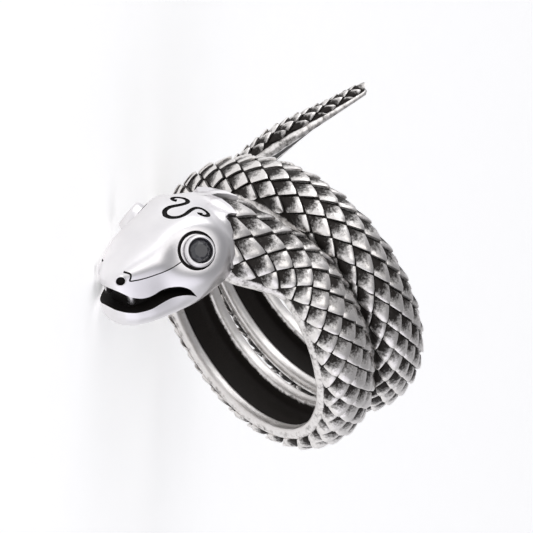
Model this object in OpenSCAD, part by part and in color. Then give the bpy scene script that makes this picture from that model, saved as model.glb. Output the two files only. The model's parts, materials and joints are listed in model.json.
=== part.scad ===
// Snake wrap ring: one silver casting of a snake that winds twice round a finger,
// with its head lying forward along the finger and its tail lying back along it.
// All sizes are in millimetres. The ring lies on its side, as it would on a table.

/* [Finger hole] */
// Inside diameter of the coil, where the finger goes
bore_d = 19; // [15:0.5:23]

/* [Body] */
// Width of the coiled body across the band at its widest
body_w = 5.2; // [4:0.1:6.5]
// Height of the coiled body above the finger at its highest
body_h = 2.6; // [2:0.1:4]
// Distance along the finger from one turn to the next
coil_pitch = 5.4; // [4.6:0.1:7]
// Depth of the hollow along the inner side of the coil
hollow_depth = 1.3; // [0.4:0.1:1.6]
// Width of the bright rims that border the hollow
rim_w = 0.85; // [0.5:0.05:1.2]
// Distance that the neck reaches forward from the first turn
neck_reach = 8.1; // [6:0.1:11]
// Height that the neck climbs above the finger where it enters the head
neck_lift = 2.2; // [1:0.1:4]
// Distance that the tail reaches back from the last turn
tail_reach = 12.8; // [8:0.1:16]

/* [Scales] */
// Whole scales in a row across the back
scale_columns = 3; // [2:1:5]
// Length of a scale along the body
scale_len = 3.1; // [2:0.1:4.5]
// Height from the root of a scale to its raised tip
scale_rise = 0.4; // [0.1:0.05:0.8]
// Distance that a tip overhangs the scale behind it
scale_lap = 0.16; // [0:0.02:0.4]

/* [Head] */
// Length of the head from its rear plates to the snout
head_len = 14; // [11:0.5:18]
// Width of the head across the cheeks
head_w = 8.6; // [7:0.1:11]
// Height of the head from the crown to the chin with the mouth open
head_h = 6; // [4.5:0.1:8]
// Distance from the first turn's middle forward to the line of the eyes
head_out = 8.5; // [6:0.1:12]
// Clearance that the chin keeps from the finger
chin_gap = 0.15; // [0:0.05:2]
// Turn angle of the head around the finger, from the tail's side
head_turn = 50; // [30:1:70]
// Sideways roll of the head
head_roll = -6; // [-20:1:20]

/* [Eyes] */
// Diameter of each round eye stone
stone_d = 1.9; // [1.4:0.1:2.6]
// Height of each stone from its culet to its table
stone_h = 1.2; // [0.8:0.1:1.6]
// Gap between a stone and the seat around it
stone_gap = 0.05; // [0.02:0.01:0.15]
// Width of the polished bezel round each stone
bezel_w = 0.28; // [0.25:0.01:0.6]
// Width of the groove cut round each bezel
eye_groove_w = 0.2; // [0.12:0.01:0.4]
// Depth of the grooves engraved in the head
engrave_depth = 0.22; // [0.1:0.01:0.4]

/* [Mouth] */
// Length of each of the two fangs
fang_len = 1.1; // [0.6:0.1:1.6]
// Diameter of a fang at its root
fang_d = 0.55; // [0.3:0.05:0.9]
// Diameter of each nostril
nostril_d = 0.7; // [0.3:0.05:1]

/* [Resting] */
// Lean of the finger's line from upright, as the ring lies on its snout and first turn
lean = 56.16; // [0:0.01:90]
// Way that it leans, as an angle around the finger
lean_turn = -47.78; // [-180:0.01:180]

/* [Hidden] */
$fn = 48;
bore_r = bore_d / 2;
silver = [0.78, 0.77, 0.76];
smoke = [0.2, 0.2, 0.24];

// The coil, a row about every 45 degrees of turn: advance along the finger as a share of
// coil_pitch, then width and height as shares of body_w and body_h. The first turn's far
// side is a little flatter between 297 and 331 degrees, where the ring lies on it.
COIL = [
    [90, -0.64, 0.98, 1.00],
    [135, -0.60, 0.98, 1.00],
    [180, -0.50, 0.98, 1.00],
    [225, -0.385, 0.95, 0.90],
    [270, -0.27, 0.92, 0.76],
    [297, -0.192, 0.94, 0.84],
    [314, -0.143, 0.9, 0.70],
    [331, -0.094, 0.945, 0.86],
    [360, -0.01, 0.93, 0.80],
    [405, 0.14, 0.95, 0.88],
    [450, 0.295, 0.96, 0.96],
    [495, 0.42, 0.95, 1.00],
    [540, 0.54, 0.92, 1.00],
    [585, 0.63, 0.86, 0.94],
    [630, 0.67, 0.80, 0.86],
    [675, 0.69, 0.76, 0.80]];

// The neck, from the head to the first turn: turn angle measured from head_turn, advance
// forward as a share of neck_reach, climb as a share of neck_lift, then width and height
// as shares of body_w and body_h, and the hollow as a share of hollow_depth.
NECK = [
    [0, 1.00, 1.0, 1.06, 1.35, 0],
    [0.5, 0.80, 1.0, 1.06, 1.35, 0],
    [2, 0.60, 0.90, 1.06, 1.32, 0],
    [5, 0.44, 0.72, 1.06, 1.25, 0],
    [10, 0.34, 0.48, 1.05, 1.18, 0.1],
    [16, 0.27, 0.26, 1.04, 1.12, 0.5],
    [24, 0.18, 0.10, 1.02, 1.06, 0.9],
    [32, 0.09, 0.02, 1.00, 1.02, 1]];

// The tail, from the last turn to its tip: turn angle, reach back as a share of tail_reach,
// drop below the coil as a share of body_h, then width and height as shares of body_w and
// body_h, and the hollow as a share of hollow_depth.
TAIL = [
    [690, 0.02, 0.00, 0.76, 0.76, 0.9],
    [698, 0.09, 0.02, 0.76, 0.72, 0.6],
    [704, 0.20, 0.07, 0.76, 0.74, 0.2],
    [712, 0.37, 0.13, 0.73, 0.80, 0],
    [719, 0.54, 0.14, 0.62, 0.70, 0],
    [724, 0.69, 0.12, 0.48, 0.56, 0],
    [728, 0.81, 0.09, 0.37, 0.46, 0],
    [731, 0.91, 0.06, 0.30, 0.40, 0],
    [734, 1.00, 0.03, 0.20, 0.30, 0]];

// The whole spine in millimetres: turn angle, place along the finger, distance from its
// middle line, width, height and depth of hollow.
coil_end = COIL[len(COIL) - 1];
SPINE = concat(
    [for (r = NECK) [head_turn + r[0], COIL[0][1] * coil_pitch - r[1] * neck_reach * 0.94,
        bore_r + r[2] * neck_lift, r[3] * body_w, r[4] * body_h, r[5] * hollow_depth]],
    [for (r = COIL) [r[0], r[1] * coil_pitch, bore_r, r[2] * body_w, r[3] * body_h, hollow_depth]],
    [for (r = TAIL) [r[0], coil_end[1] * coil_pitch + r[1] * tail_reach,
        bore_r - r[2] * body_h, r[3] * body_w, r[4] * body_h, r[5] * hollow_depth]]);

// A smooth curve through the rows of a table, u counting the rows.
function held(t, i) = t[max(0, min(len(t) - 1, i))];
function along(t, u) =
    let (i = max(0, min(len(t) - 2, floor(u))), f = u - i,
         a = held(t, i - 1), b = held(t, i), c = held(t, i + 1), d = held(t, i + 2))
    b + f * (c - a) / 2 + f * f * (a - 2.5 * b + 2 * c - d / 2)
    + f * f * f * (-a + 3 * b - 3 * c + d) / 2;
function unit(v) = v / norm(v);

// A place on the spine, and the three directions of its cross-section: tailward,
// outward from the finger, and across towards the front.
function spot(u) = let (r = along(SPINE, u)) [r[2] * sin(r[0]), r[2] * cos(r[0]), -r[1]];
function tailward(u) = unit(spot(u + 0.05) - spot(u - 0.05));
function outward(u) =
    let (r = along(SPINE, u), t = tailward(u), n = [sin(r[0]), cos(r[0]), 0]) unit(n - (n * t) * t);
function across(u) = cross(tailward(u), outward(u));

// Rows of scales are half a scale apart, closer together where the body is thinner.
u_last = len(SPINE) - 1.02;
function row_step(u) =
    let (r = along(SPINE, u), speed = norm(spot(u + 0.05) - spot(u - 0.05)) / 0.1,
         lift = (r[2] + r[4]) / r[2])
    scale_len / 2 * min(1, 0.25 + 0.75 * r[3] / (0.9 * body_w)) / (speed * (r[2] < bore_r * 1.02 ? lift : 1));
first_row = 0.8;
ROWS_RAW = [for (u = first_row; u < u_last; u = u + row_step(u + row_step(u) / 2)) u];
rows = 2 * floor((len(ROWS_RAW) - 1) / 2);
ROWS = [for (k = [0:rows]) ROWS_RAW[k]];

// The outline of the body's back from one rim (p = -1) over the top (p = 0) to the other,
// swollen by e at the surface.
function power(v, e) = sign(v) * pow(abs(v), e);
function back(u, p, e) =
    let (r = along(SPINE, u), w = r[3] / 2 + e, h = r[4] + e, foot = 0.22 * r[4])
    spot(u) + w * power(sin(90 * p), 0.95) * across(u)
    + (foot + (h - foot) * power(cos(90 * p), 0.85)) * outward(u);

// The inner side: from the front foot round the rim and the hollow to the back foot.
INNER = 8;
function inner_side(u, i) =
    let (r = along(SPINE, u), w = r[3] / 2, s = i < INNER / 2 ? 1 : -1, j = i < INNER / 2 ? i : INNER - 1 - i,
         rim = min(rim_w, w * 0.45), d = max(0.02, r[5]),
         low = r[5] > 0.3 ? -0.15 : -0.02,
         x = [w - 0.06 * w, w - 0.14 * w, w - 0.14 * w - rim, (w - 0.14 * w - rim) * 0.72][j],
         y = [0.06 * r[4], low, low + (r[5] > 0.3 ? 0 : -0.01), d][j])
    spot(u) + s * x * across(u) + y * outward(u);

// Corners of the scales. Each corner of the pattern has three heights: the raised tip of
// one scale, the sides of its two neighbours, and the sunken root of the next.
function corner_p(k, j) = k % 2 == 0
    ? -1 + 2 * min(j, scale_columns) / scale_columns
    : max(-1, min(1, -1 + (2 * j - 1) / scale_columns));
function flat_corner(k, j) = k == 0 || k == rows || abs(corner_p(k, j)) > 0.999;
function thin(u) = min(1, along(SPINE, u)[3] / (0.75 * body_w));
function corner(k, j, level) =
    let (u = ROWS[k], p = corner_p(k, j), s = flat_corner(k, j) ? 0 : thin(u),
         e = s * scale_rise * [0.5, 0, -0.5][level])
    back(u, p, e) + s * scale_lap * [1, 0.3, 0][level] * tailward(u);
slots = scale_columns + 2;
stride = 3 * slots + INNER + slots;
function v_corner(k, j, level) = k * stride + 3 * j + (flat_corner(k, j) ? 0 : level);
function v_inner(k, i) = k * stride + 3 * slots + i;
function v_crown(k, j) = k * stride + 3 * slots + INNER + j;
function crown(k, j) =
    let (p = k % 2 == 1 ? -1 + 2 * min(j, scale_columns) / scale_columns
                        : max(-1, min(1, -1 + (2 * j - 1) / scale_columns)))
    back(ROWS[k], p, 0.06 * thin(ROWS[k]));
BODY_POINTS = [for (k = [0:rows]) each concat(
    [for (j = [0:slots - 1], level = [0:2]) corner(k, j, level)],
    [for (i = [0:INNER - 1]) inner_side(ROWS[k], i)],
    [for (j = [0:slots - 1]) crown(k, j)])];

// Around one cross-section on the inner side: front foot, rim, hollow, rim, back foot.
function front_foot(k) = v_corner(k, k % 2 == 0 ? scale_columns : scale_columns + 1, 0);
function back_foot(k) = v_corner(k, 0, 0);
function around(k) = concat([front_foot(k)], [for (i = [0:INNER - 1]) v_inner(k, i)], [back_foot(k)]);
function wall(a, b, right) = right
    ? [[b[0], a[1], a[2]], [b[0], a[2], b[1]]]
    : [[a[1], b[0], b[1]], [a[1], b[1], a[2]]];
function levels(k, j) = [for (level = [0:2]) v_corner(k, j, level)];
function fan4(h, l, t, r, c) = [[h, l, c], [l, t, c], [t, r, c], [r, h, c]];

function scale_faces(k) = k % 2 == 1
    ? concat(
        [for (j = [1:1:scale_columns - 1]) each fan4(v_corner(k - 1, j, 2), v_corner(k, j, 1),
            v_corner(k + 1, j, 0), v_corner(k, j + 1, 1), v_crown(k, j))],
        [[v_corner(k - 1, 0, 2), v_corner(k, 0, 0), v_corner(k, 1, 1)],
         [v_corner(k, 0, 0), v_corner(k + 1, 0, 0), v_corner(k, 1, 1)],
         [v_corner(k - 1, scale_columns, 2), v_corner(k, scale_columns, 1), v_corner(k, scale_columns + 1, 0)],
         [v_corner(k, scale_columns, 1), v_corner(k + 1, scale_columns, 0), v_corner(k, scale_columns + 1, 0)]])
    : [for (j = [1:scale_columns]) each fan4(v_corner(k - 1, j, 2), v_corner(k, j - 1, 1),
        v_corner(k + 1, j, 0), v_corner(k, j, 1), v_crown(k, j))];
function wall_faces(k) = k % 2 == 0
    ? concat([for (j = [0:scale_columns - 1]) each wall(levels(k, j), levels(k + 1, j + 1), true)],
             [for (j = [1:scale_columns]) each wall(levels(k, j), levels(k + 1, j), false)])
    : concat([for (j = [1:scale_columns]) each wall(levels(k, j), levels(k + 1, j), true)],
             [for (j = [1:scale_columns]) each wall(levels(k, j), levels(k + 1, j - 1), false)]);
function inner_faces(k) = let (a = around(k), b = around(k + 1))
    [for (i = [0:INNER]) each [[a[i], b[i], b[i + 1]], [a[i], b[i + 1], a[i + 1]]]];
function whole(f) = f[0] != f[1] && f[1] != f[2] && f[0] != f[2];
// The ends: the first row is closed inside the head, the last one at the tip of the tail.
first_ring = concat([for (j = [0:scale_columns]) v_corner(0, j, 0)], [for (i = [0:INNER - 1]) v_inner(0, i)]);
last_ring = concat([for (j = [0:scale_columns]) v_corner(rows, j, 0)], [for (i = [0:INNER - 1]) v_inner(rows, i)]);
first_middle = len(BODY_POINTS);
last_middle = first_middle + 1;
function mean(list) = [for (i = list) 1] * list / len(list);
BODY_ALL = concat(BODY_POINTS, [
    spot(ROWS[0]) + along(SPINE, ROWS[0])[4] / 2 * outward(ROWS[0]),
    spot(ROWS[rows]) + along(SPINE, ROWS[rows])[4] / 2 * outward(ROWS[rows]) + 0.35 * along(SPINE, ROWS[rows])[3] * tailward(ROWS[rows])]);
BODY_FACES = [for (f = concat(
    [for (j = [1:scale_columns]) [v_corner(0, j - 1, 0), v_corner(1, j, 0), v_corner(0, j, 0)]],
    [for (k = [1:rows - 1]) each scale_faces(k)],
    [for (j = [1:scale_columns]) [v_corner(rows - 1, j, 2), v_corner(rows, j - 1, 0), v_corner(rows, j, 0)]],
    [for (k = [0:rows - 1]) each wall_faces(k)],
    [for (k = [0:rows - 1]) each inner_faces(k)],
    [for (i = [0:len(first_ring) - 1]) [first_ring[i], first_ring[(i + 1) % len(first_ring)], first_middle]],
    [for (i = [0:len(last_ring) - 1]) [last_ring[(i + 1) % len(last_ring)], last_ring[i], last_middle]]))
    if (whole(f)) f];

// The head's own frame: forward to the snout, left to the side of the left eye, and up
// away from the finger, measured from the middle of the line between the eyes.
chin_share = 0.84;
eye_line = bore_r + chin_gap + chin_share * head_h;
up_turn = head_turn + head_roll;
head_at = [eye_line * sin(head_turn), eye_line * cos(head_turn), head_out - COIL[0][1] * coil_pitch];
HEAD_FRAME = [
    [0, cos(up_turn), sin(up_turn), head_at[0]],
    [0, -sin(up_turn), cos(up_turn), head_at[1]],
    [1, 0, 0, head_at[2]]];
function in_ring(p) = HEAD_FRAME * [p[0], p[1], p[2], 1];

// Skull and upper jaw, from the rear plates to the snout: place forward as a share of
// head_len, shift to the left as a share of head_w, turn of the section in degrees, half
// width as a share of head_w, heights of crown, waist and lip as shares of head_h, and the
// hollow of the palate as a share of head_h.
SKULL = [
    [-0.425, 0.270, 52, 0.345, -0.20, -0.50, -0.80, 0],
    [-0.385, 0.175, 40, 0.395, -0.12, -0.49, -0.85, 0],
    [-0.315, 0.070, 24, 0.440, -0.04, -0.48, -0.87, 0],
    [-0.220, 0.015, 9, 0.475, 0.06, -0.47, -0.86, 0],
    [-0.100, 0, 0, 0.480, 0.11, -0.44, -0.82, 0],
    [0.005, 0, 0, 0.450, 0.13, -0.38, -0.74, 0.02],
    [0.070, 0, 0, 0.420, 0.13, -0.33, -0.60, 0.06],
    [0.130, 0, 0, 0.385, 0.11, -0.29, -0.50, 0.10],
    [0.220, 0, 0, 0.320, 0.06, -0.26, -0.43, 0.12],
    [0.310, 0, 0, 0.260, 0.01, -0.24, -0.41, 0.12],
    [0.390, 0, 0, 0.200, -0.04, -0.22, -0.39, 0.10],
    [0.450, 0, 0, 0.140, -0.09, -0.20, -0.34, 0.06],
    [0.485, 0, 0, 0.080, -0.13, -0.20, -0.28, 0.02],
    [0.497, 0, 0, 0.030, -0.17, -0.20, -0.23, 0]];

// Lower jaw, from inside the cheeks to the chin: place forward as a share of head_len, half
// width as a share of head_w, heights of lip, waist and chin as shares of head_h, and the
// hollow of its floor as a share of head_h.
JAW = [
    [-0.200, 0.420, -0.50, -0.62, -0.86, 0],
    [-0.070, 0.460, -0.52, -0.66, -0.90, 0],
    [0.030, 0.450, -0.60, -0.70, -0.92, 0.02],
    [0.110, 0.415, -0.62, -0.72, -0.93, 0.07],
    [0.200, 0.360, -0.64, -0.73, -0.93, 0.10],
    [0.300, 0.290, -0.64, -0.74, -0.92, 0.11],
    [0.390, 0.225, -0.61, -0.71, -0.89, 0.10],
    [0.450, 0.160, -0.57, -0.66, -0.83, 0.06],
    [0.485, 0.095, -0.55, -0.62, -0.75, 0.02],
    [0.497, 0.035, -0.56, -0.61, -0.68, 0]];

// Points round a section of the head, counted from the left side over the top.
HEAD_SIDES = 28;
PLATES = 7;
plate_len = 0.075;
function head_step(i) = 360 * i / HEAD_SIDES;
// The edge behind the skull runs in points, each the tip of a large plate.
function plate(i) = abs(((i + 0.5 * HEAD_SIDES / PLATES) % (HEAD_SIDES / PLATES)) / (HEAD_SIDES / PLATES) - 0.5) * 2;
function skull_point(r, i, rear) =
    let (t = head_step(i), cx = power(cos(t), 0.85), sz = power(sin(t), 0.85),
         y = r[3] * head_w * cx,
         z = (sin(t) > 0 ? r[5] + (r[4] - r[5]) * sz : r[5] + (r[5] - r[6]) * sz) * head_h,
         cup = sin(t) < 0 ? r[7] * head_h * max(0, 1 - pow(cx / 0.8, 2)) : 0,
         x = -rear * plate_len * head_len * (plate(i) - 0.5))
    in_ring([r[0] * head_len + x * cos(r[2]) + y * sin(r[2]),
             r[1] * head_w - x * sin(r[2]) + y * cos(r[2]), z + cup]);
function jaw_point(r, i) =
    let (t = head_step(i), cx = power(cos(t), 0.8), sz = power(sin(t), 0.8),
         y = r[1] * head_w * cx,
         z = (sin(t) > 0 ? r[3] + (r[2] - r[3]) * sz : r[3] + (r[3] - r[4]) * sz) * head_h,
         cup = sin(t) > 0 ? r[5] * head_h * max(0, 1 - pow(cx / 0.8, 2)) : 0)
    in_ring([r[0] * head_len, y, z - cup]);

// Rings of points joined into one closed skin, with a flat fan at each end.
function ring_faces(count, sides) = concat(
    [for (k = [0:count - 2], i = [0:sides - 1]) let (a = k * sides + i, b = k * sides + (i + 1) % sides)
        each [[a, b + sides, b], [a, a + sides, b + sides]]],
    [for (i = [0:sides - 1]) [i, (i + 1) % sides, count * sides]],
    [for (i = [0:sides - 1]) let (m = (count - 1) * sides) [m + (i + 1) % sides, m + i, count * sides + 1]]);
function between(t, n) = [for (k = [0:n * (len(t) - 1)]) along(t, k / n)];
SKULL_ROWS = between(SKULL, 1);
JAW_ROWS = between(JAW, 1);
SKULL_RINGS = [for (k = [0:len(SKULL_ROWS) - 1], i = [0:HEAD_SIDES - 1])
    skull_point(SKULL_ROWS[k], i, k == 0 ? 1 : k == 1 ? 0.5 : 0)];
JAW_RINGS = [for (r = JAW_ROWS, i = [0:HEAD_SIDES - 1]) jaw_point(r, i)];
function part_of(list, from, n) = [for (i = [0:n - 1]) list[from + i]];
SKULL_POINTS = concat(SKULL_RINGS, [mean(part_of(SKULL_RINGS, 0, HEAD_SIDES)),
    mean(part_of(SKULL_RINGS, len(SKULL_RINGS) - HEAD_SIDES, HEAD_SIDES))]);
JAW_POINTS = concat(JAW_RINGS, [mean(part_of(JAW_RINGS, 0, HEAD_SIDES)),
    mean(part_of(JAW_RINGS, len(JAW_RINGS) - HEAD_SIDES, HEAD_SIDES))]);

// Eyes: where each one sits in the head's frame, and the way it looks.
eye_at = [-0.015 * head_len, 0.44 * head_w, -0.14 * head_h];
eye_look = unit([0.24, 0.84, 0.48]);
seat_r = stone_d / 2 + stone_gap;
bezel_r = seat_r + bezel_w;

// How the ring lies: up is the way from the surface below, and the front is the side from
// which both the head's left cheek and the mouth are seen.
up_way = [sin(lean) * cos(lean_turn), sin(lean) * sin(lean_turn), -cos(lean)];
front_way = [0.854, 0, 0.52];
back_way = -unit(front_way - (front_way * up_way) * up_way);
LIE = [cross(back_way, up_way), back_way, up_way];
ALL_POINTS = [for (p = concat(BODY_ALL, SKULL_POINTS, JAW_POINTS)) LIE * p];
function middle(i) = (min([for (p = ALL_POINTS) p[i]]) + max([for (p = ALL_POINTS) p[i]])) / 2;
lying = [-middle(0), -middle(1), -min([for (p = ALL_POINTS) p[2]])];
module at_rest() {
    multmatrix([for (i = [0:2]) [LIE[i][0], LIE[i][1], LIE[i][2], lying[i]]]) children();
}

module at_head() {
    multmatrix([HEAD_FRAME[0], HEAD_FRAME[1], HEAD_FRAME[2], [0, 0, 0, 1]]) children();
}
// side is 1 for the left eye and -1 for the right one; z points out of the eye
module at_eye(side) {
    at_head() translate([eye_at[0], side * eye_at[1], eye_at[2]])
        rotate([0, 0, atan2(side * eye_look[1], eye_look[0])])
            rotate([0, acos(eye_look[2]), 0]) children();
}

module body() {
    polyhedron(BODY_ALL, BODY_FACES, convexity = 10);
}
module skull() {
    polyhedron(SKULL_POINTS, ring_faces(len(SKULL_ROWS), HEAD_SIDES), convexity = 6);
}
module jaw() {
    polyhedron(JAW_POINTS, ring_faces(len(JAW_ROWS), HEAD_SIDES), convexity = 6);
}
module fang(side) {
    at_head() translate([0.385 * head_len, side * 0.15 * head_w, -0.30 * head_h])
        rotate([0, 180, 0]) cylinder(d1 = fang_d, d2 = fang_d * 0.3, h = fang_len);
}
module nostril(side) {
    at_head() translate([0.445 * head_len, side * 0.115 * head_w, -0.11 * head_h])
        sphere(d = nostril_d);
}
module bezel(side) {
    at_eye(side) translate([0, 0, -0.9]) cylinder(r = bezel_r, h = 1.05);
}
module eye_groove(side) {
    at_eye(side) difference() {
        translate([0, 0, -engrave_depth]) cylinder(r = bezel_r + eye_groove_w, h = 2);
        translate([0, 0, -1]) cylinder(r = bezel_r, h = 4);
    }
}
module stone_seat(side) {
    at_eye(side) translate([0, 0, -stone_h * 0.7 - stone_gap]) cylinder(r = seat_r, h = stone_h + 1);
}
module stone(side) {
    at_eye(side) translate([0, 0, -stone_h * 0.7]) rotate_extrude($fn = 12)
        polygon([[0, 0], [stone_d / 2, stone_h * 0.58], [stone_d / 2, stone_h * 0.72],
            [stone_d * 0.3, stone_h], [0, stone_h]]);
}

// The finger hole is cut true from the last turn forward, past the chin.
bore_back = coil_end[1] * coil_pitch + coil_end[2] * body_w / 2 + 0.3;
module snake_ring() {
    at_rest() color(silver) difference() {
        union() {
            difference() {
                union() {
                    skull();
                    jaw();
                }
                for (side = [-1, 1]) {
                    eye_groove(side);
                    nostril(side);
                }
            }
            for (side = [-1, 1]) {
                bezel(side);
                fang(side);
            }
            body();
        }
        for (side = [-1, 1]) stone_seat(side);
        translate([0, 0, -bore_back]) cylinder(r = bore_r, h = bore_back + 30, $fn = 96);
    }
}
module eye_stone_left() {
    at_rest() color(smoke) stone(1);
}
module eye_stone_right() {
    at_rest() color(smoke) stone(-1);
}

snake_ring();
eye_stone_left();
eye_stone_right();
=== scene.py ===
# %% [markdown]
# # A coiled snake ring in cast silver
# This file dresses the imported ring. The real ring is one casting that was blackened all
# over and then polished, so its high places are bright and its recesses stay black. The
# cells build the coiled body, its overlapping plates, the head, the eyes and the stones,
# give each its finish, and then set the floor, the lights and the camera.

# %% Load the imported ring
import json
import math

import bmesh
import bpy
from mathutils import Matrix, Vector, noise
from mathutils.bvhtree import BVHTree


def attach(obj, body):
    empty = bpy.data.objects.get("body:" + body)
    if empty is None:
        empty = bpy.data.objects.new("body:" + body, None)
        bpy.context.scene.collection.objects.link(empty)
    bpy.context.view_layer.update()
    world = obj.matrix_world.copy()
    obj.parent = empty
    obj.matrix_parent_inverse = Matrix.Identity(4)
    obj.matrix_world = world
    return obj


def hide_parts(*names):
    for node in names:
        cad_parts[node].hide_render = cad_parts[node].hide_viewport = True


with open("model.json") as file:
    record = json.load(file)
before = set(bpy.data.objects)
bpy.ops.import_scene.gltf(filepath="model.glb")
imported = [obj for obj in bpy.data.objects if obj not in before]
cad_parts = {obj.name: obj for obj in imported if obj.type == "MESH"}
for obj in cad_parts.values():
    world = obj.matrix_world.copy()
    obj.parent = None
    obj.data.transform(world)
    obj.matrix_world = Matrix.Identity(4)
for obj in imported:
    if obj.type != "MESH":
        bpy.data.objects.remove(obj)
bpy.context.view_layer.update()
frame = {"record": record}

# %% [markdown]
# ## Sizes
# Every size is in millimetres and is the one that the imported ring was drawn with. The
# snake is drawn round an upright finger, and one matrix at the end lays it down as the
# packed ring lies.

# %% Sizes of the ring
bore_r = 9.5
body_w = 5.2
body_h = 2.6
coil_pitch = 5.4
hollow_depth = 1.3
rim_w = 0.85
neck_reach = 8.1
neck_lift = 2.2
tail_reach = 12.8
scale_rise = 0.4
head_len = 14
head_w = 8.6
head_h = 6
head_out = 8.5
chin_gap = 0.15
head_turn = 50
head_roll = -6
stone_d = 1.9
stone_h = 1.2
stone_gap = 0.05
bezel_w = 0.28

# %% [markdown]
# ## The line that the body follows
# A coil can be made from a curve with a bevel, but this body changes its width, its height
# and the depth of its hollow all the way along. So a table gives each of them at a few
# places, and a smooth curve runs through the rows. A row of COIL holds the turn round the
# finger in degrees, the place along it as a share of the pitch, and the shares of body_w
# and body_h. A row of NECK or TAIL holds the turn, the shares of the neck's or tail's
# reach and of its lift or sink, the same two shares, and that of the hollow's depth.

# %% Table of the spine and the curve through it
COIL = [
    [90, -0.64, 0.98, 1.00], [99, -0.618, 0.98, 1.00], [110, -0.609, 0.98, 1.00],
    [122, -0.605, 0.98, 1.00], [135, -0.60, 0.98, 1.00], [157, -0.556, 0.98, 1.00],
    [180, -0.50, 0.98, 1.00], [225, -0.385, 0.95, 0.90], [270, -0.27, 0.92, 0.76],
    [297, -0.192, 0.94, 0.84], [314, -0.143, 0.90, 0.70], [331, -0.094, 0.945, 0.86],
    [360, -0.01, 0.93, 0.80], [405, 0.14, 0.95, 0.88], [450, 0.295, 0.96, 0.96], [495, 0.42, 0.95, 1.00],
    [540, 0.54, 0.92, 1.00], [585, 0.63, 0.86, 0.94], [630, 0.67, 0.80, 0.86],
    [675, 0.69, 0.76, 0.80]]
NECK = [
    [0, 1.00, 0.35, 1.50, 1.80, 0], [0.5, 0.80, 0.35, 1.50, 1.80, 0], [2, 0.60, 0.30, 1.46, 1.74, 0],
    [5, 0.44, 0.22, 1.28, 1.60, 0], [10, 0.335, 0.15, 1.14, 1.43, 0.1], [16, 0.245, 0.08, 1.06, 1.26, 0.5],
    [24, 0.14, 0.03, 1.03, 1.12, 0.9], [32, 0.058, 0.02, 1.00, 1.02, 1]]
TAIL = [
    [690, 0.02, 0.00, 0.76, 0.76, 0.9], [698, 0.09, 0.02, 0.76, 0.72, 0.6],
    [704, 0.20, 0.07, 0.76, 0.74, 0.2], [712, 0.37, 0.13, 0.73, 0.80, 0],
    [719, 0.54, 0.14, 0.62, 0.70, 0], [724, 0.69, 0.12, 0.48, 0.56, 0],
    [728, 0.81, 0.09, 0.37, 0.46, 0], [731, 0.91, 0.06, 0.30, 0.40, 0],
    [734, 1.00, 0.03, 0.20, 0.30, 0]]
neck_run = 0.94 * neck_reach
SPINE = (
    [[head_turn + t, COIL[0][1] * coil_pitch - a * neck_run, bore_r + c * neck_lift,
      w * body_w, h * body_h, d * hollow_depth] for t, a, c, w, h, d in NECK]
    + [[t, a * coil_pitch, bore_r, w * body_w, h * body_h, hollow_depth] for t, a, w, h in COIL]
    + [[t, COIL[-1][1] * coil_pitch + a * tail_reach, bore_r - c * body_h,
        w * body_w, h * body_h, d * hollow_depth] for t, a, c, w, h, d in TAIL])


def unit(value):
    """The value kept between 0 and 1."""
    return max(0, min(1, value))


def row_at(table, u):
    """The row at place u of a table, on a smooth curve through its rows."""
    i = max(0, min(len(table) - 2, math.floor(u)))
    f = u - i
    near = [table[max(0, min(len(table) - 1, i + k))] for k in (-1, 0, 1, 2)]
    return [b + f * (c - a) / 2 + f * f * (a - 2.5 * b + 2 * c - d / 2)
            + f ** 3 * (-a + 3 * b - 3 * c + d) / 2 for a, b, c, d in zip(*near)]


def spine_place(u):
    turn, reach, radius = row_at(SPINE, u)[:3]
    turn = math.radians(turn)
    return Vector((radius * math.sin(turn), radius * math.cos(turn), -reach))


# The neck also widens on its left side alone, by so many millimetres at these rows.
FLARE = [[0.0], [0.0], [0.1], [0.7], [1.1], [1.05], [0.7], [0.35], [0.1], [0.0]]
FLARE_END = 8
sections = {}


def section(u):
    """Place, tailward, outward and across directions, width, height and hollow at u."""
    key = round(u, 4)
    if key not in sections:
        turn, _, _, w, h, d = row_at(SPINE, u)
        turn = math.radians(turn)
        tail = (spine_place(u + 0.05) - spine_place(u - 0.05)).normalized()
        out = Vector((math.sin(turn), math.cos(turn), 0))
        out = (out - out.dot(tail) * tail).normalized()
        across = tail.cross(out)
        flare = row_at(FLARE, min(u, FLARE_END))[0]
        sections[key] = (spine_place(u) + across * flare / 2, tail, out, across, w + flare, h, d)
    return sections[key]


def power(v, e):
    return math.copysign(abs(v) ** e, v)


def skin(u, p, e):
    """A point on the back of the body, from one rim, p = -1, to the other, raised by e."""
    place, _, out, across, w, h, _ = section(u)
    foot = 0.22 * h
    a = math.radians(90 * p)
    return (place + (w / 2 + e) * power(math.sin(a), 0.95) * across
            + (foot + (h + e - foot) * power(math.cos(a), 0.85)) * out)


u_end = len(SPINE) - 1.02
print("spine rows:", len(SPINE), "from", spine_place(0)[:], "to", spine_place(u_end)[:])

# %% [markdown]
# ## Measuring along and across the body
# The plates keep their size while the table's rows are uneven, so they are laid out in
# millimetres along the top and across the back. Two small tables turn such a distance
# into a place on the curve.

# %% Distances along the top and across the back
TRACK_STEP = 0.02
TRACK = []
walked = 0.0
for i in range(int(u_end / TRACK_STEP) + 1):
    top = skin(i * TRACK_STEP, 0, 0)
    if TRACK:
        walked += (top - TRACK[-1][2]).length
    TRACK.append((walked, i * TRACK_STEP, top))


def u_at(distance):
    """The place on the spine at a distance in millimetres along the top."""
    lo, hi = 0, len(TRACK) - 1
    while hi - lo > 1:
        mid = (lo + hi) // 2
        lo, hi = (mid, hi) if TRACK[mid][0] <= distance else (lo, mid)
    a, b = TRACK[lo], TRACK[hi]
    return a[1] + (b[1] - a[1]) * (distance - a[0]) / max(b[0] - a[0], 1e-9)


GIRTH_STEPS = 20
girths = {}


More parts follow.
